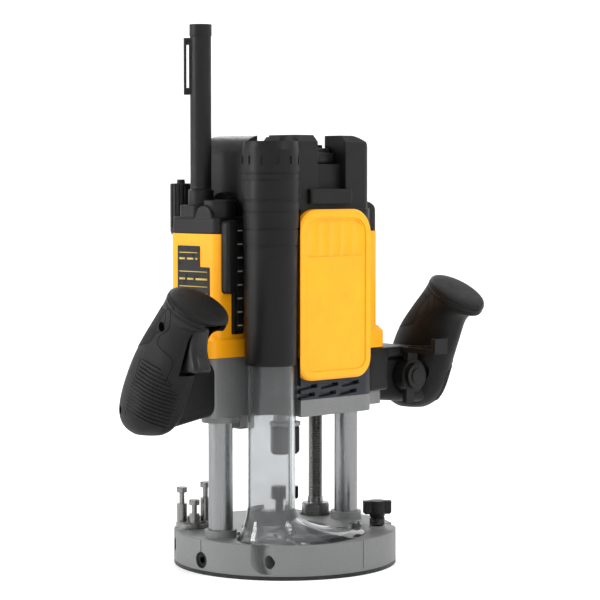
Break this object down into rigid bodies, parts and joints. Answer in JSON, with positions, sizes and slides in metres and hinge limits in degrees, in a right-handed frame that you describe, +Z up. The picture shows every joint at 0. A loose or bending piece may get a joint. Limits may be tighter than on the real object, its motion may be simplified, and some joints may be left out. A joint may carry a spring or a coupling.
{
  "type": "plunge router",
  "caption": "Plunge router: round cast base, two guide columns, sprung motor carriage, pistol-grip handles, clear dust tube, depth turret and tall cord guide.",
  "frame": {"origin": "centre of the cutter opening at the underside of the sole plate", "axes": "+Z up along the spindle and the guide columns; X through both guide columns and handles; the front panel faces -Y"},
  "size_m": [0.3108, 0.17, 0.407],
  "materials": {
    "cast_aluminium": "fine-grained casting, satin",
    "steel": "ground and polished",
    "zinc": "bright zinc plate",
    "spring_steel": "black oiled spring steel",
    "black_steel": "black oxide",
    "phenolic": "smooth black laminate",
    "clear_plastic": "clear polycarbonate",
    "black_plastic": "fine-textured moulding",
    "grip_plastic": "soft-touch texture",
    "gloss_black": "polished moulding",
    "dark_grey_plastic": "fine-textured moulding",
    "yellow_plastic": "satin moulding",
    "label": "printed foil, blank",
    "scale_metal": "black strip with light graduation lines",
    "bronze": "sintered bushing",
    "laminations": "varnished laminated steel",
    "carbon": "carbon block in its holder",
    "fan_plastic": "glass-filled nylon"
  },
  "bodies": {
    "base": {"base_casting": "cast_aluminium", "sole_plate": "phenolic", "sole_screws": "zinc", "column_left": "steel", "column_right": "steel", "column_clamp_screws": "black_steel", "threaded_rod": "zinc", "rod_nut": "zinc", "dust_tube_clear": "clear_plastic", "dust_shroud": "clear_plastic", "shroud_screws": "zinc", "fence_clamp_springs": "spring_steel", "plunge_spring_left": "spring_steel", "plunge_spring_right": "spring_steel", "turret_pivot": "zinc"},
    "fence_clamp_front": {"fence_clamp_front": "black_plastic"},
    "fence_clamp_rear": {"fence_clamp_rear": "black_plastic"},
    "turret": {"turret_disc": "zinc"},
    "stop_tall": {"stop_screw_tall": "zinc"},
    "stop_middle": {"stop_screw_middle": "zinc"},
    "stop_short": {"stop_screw_short": "zinc"},
    "carriage": {"carriage_casting": "cast_aluminium", "column_bushes": "bronze", "rod_guide_bush": "black_plastic", "vent_skirt": "dark_grey_plastic", "motor_housing": "yellow_plastic", "side_housing_left": "yellow_plastic", "side_housing_right": "yellow_plastic", "side_cap_left": "black_plastic", "side_cap_right": "black_plastic", "top_cap": "black_plastic", "front_panel": "yellow_plastic", "scale_channel": "black_plastic", "scale_strip": "scale_metal", "rating_plate": "label", "cord_guide": "black_plastic", "dust_adapter": "black_plastic", "handle_left_outer": "grip_plastic", "handle_left_inner": "grip_plastic", "handle_right_outer": "grip_plastic", "handle_right_inner": "grip_plastic", "handle_fasteners": "zinc", "switch": "black_plastic", "lock_barrel": "black_plastic", "bearings": "steel", "stator": "laminations", "brushes": "carbon", "housing_screws": "zinc"},
    "rotor": {"spindle": "steel", "rotor_core": "laminations", "cooling_fan": "fan_plastic", "collet": "spring_steel", "collet_nut": "black_steel"},
    "trigger": {"trigger": "gloss_black"},
    "plunge_lock": {"plunge_lock_lever": "black_plastic"},
    "speed_dial": {"speed_dial": "black_plastic"},
    "depth_rod": {"depth_rod": "zinc"},
    "depth_rod_knob": {"depth_rod_knob": "black_plastic"},
    "depth_clamp": {"depth_clamp_knob": "black_plastic"},
    "spindle_lock": {"spindle_lock": "black_plastic"}
  },
  "joints": [
    {"name": "plunge", "type": "slide", "parent": "base", "child": "carriage", "axis": [0, 0, 1], "range_m": [-0.06, 0], "stiffness_N_per_m": 700, "springref_m": 0.09, "deforming": ["plunge_spring_left", "plunge_spring_right"]},
    {"name": "spindle_spin", "type": "hinge", "parent": "carriage", "child": "rotor", "pos_m": [0, 0, 0.12], "axis": [0, 0, 1], "continuous": true},
    {"name": "turret_turn", "type": "hinge", "parent": "base", "child": "turret", "pos_m": [-0.0515, 0.0475, 0.03], "axis": [0, 0, 1], "continuous": true},
    {"name": "fence_clamp_front_turn", "type": "hinge", "parent": "base", "child": "fence_clamp_front", "pos_m": [0.048, -0.052, 0.04], "axis": [0, 0, 1], "continuous": true},
    {"name": "fence_clamp_rear_turn", "type": "hinge", "parent": "base", "child": "fence_clamp_rear", "pos_m": [0.048, 0.052, 0.04], "axis": [0, 0, 1], "continuous": true},
    {"name": "stop_tall_height", "type": "slide", "parent": "turret", "child": "stop_tall", "axis": [0, 0, 1], "range_m": [-0.005, 0.006]},
    {"name": "stop_middle_height", "type": "slide", "parent": "turret", "child": "stop_middle", "axis": [0, 0, 1], "range_m": [-0.005, 0.006]},
    {"name": "stop_short_height", "type": "slide", "parent": "turret", "child": "stop_short", "axis": [0, 0, 1], "range_m": [-0.005, 0.006]},
    {"name": "trigger_squeeze", "type": "hinge", "parent": "carriage", "child": "trigger", "pos_m": [-0.134, -0.053, 0.187], "axis": [1, 0, 0], "range_deg": [0, 8], "stiffness_Nm_per_rad": 0.6, "springref_deg": -11.46},
    {"name": "plunge_lock_turn", "type": "hinge", "parent": "carriage", "child": "plunge_lock", "pos_m": [0.111, -0.02, 0.137], "axis": [0, -1, 0], "range_deg": [0, 30]},
    {"name": "speed_dial_turn", "type": "hinge", "parent": "carriage", "child": "speed_dial", "pos_m": [-0.051, 0.012, 0.272], "axis": [1, 0, 0], "range_deg": [0, 270]},
    {"name": "depth_rod_slide", "type": "slide", "parent": "carriage", "child": "depth_rod", "axis": [0, 0, -1], "range_m": [-0.02, 0.054]},
    {"name": "depth_fine_turn", "type": "hinge", "parent": "depth_rod", "child": "depth_rod_knob", "pos_m": [-0.058, 0.0536, 0.26], "axis": [0, 0, 1], "continuous": true},
    {"name": "depth_clamp_turn", "type": "hinge", "parent": "carriage", "child": "depth_clamp", "pos_m": [-0.058, 0.07, 0.147], "axis": [0, 1, 0], "continuous": true},
    {"name": "spindle_lock_press", "type": "slide", "parent": "carriage", "child": "spindle_lock", "axis": [0, -1, 0], "range_m": [0, 0.003], "stiffness_N_per_m": 400, "springref_m": -0.003}
  ]
}
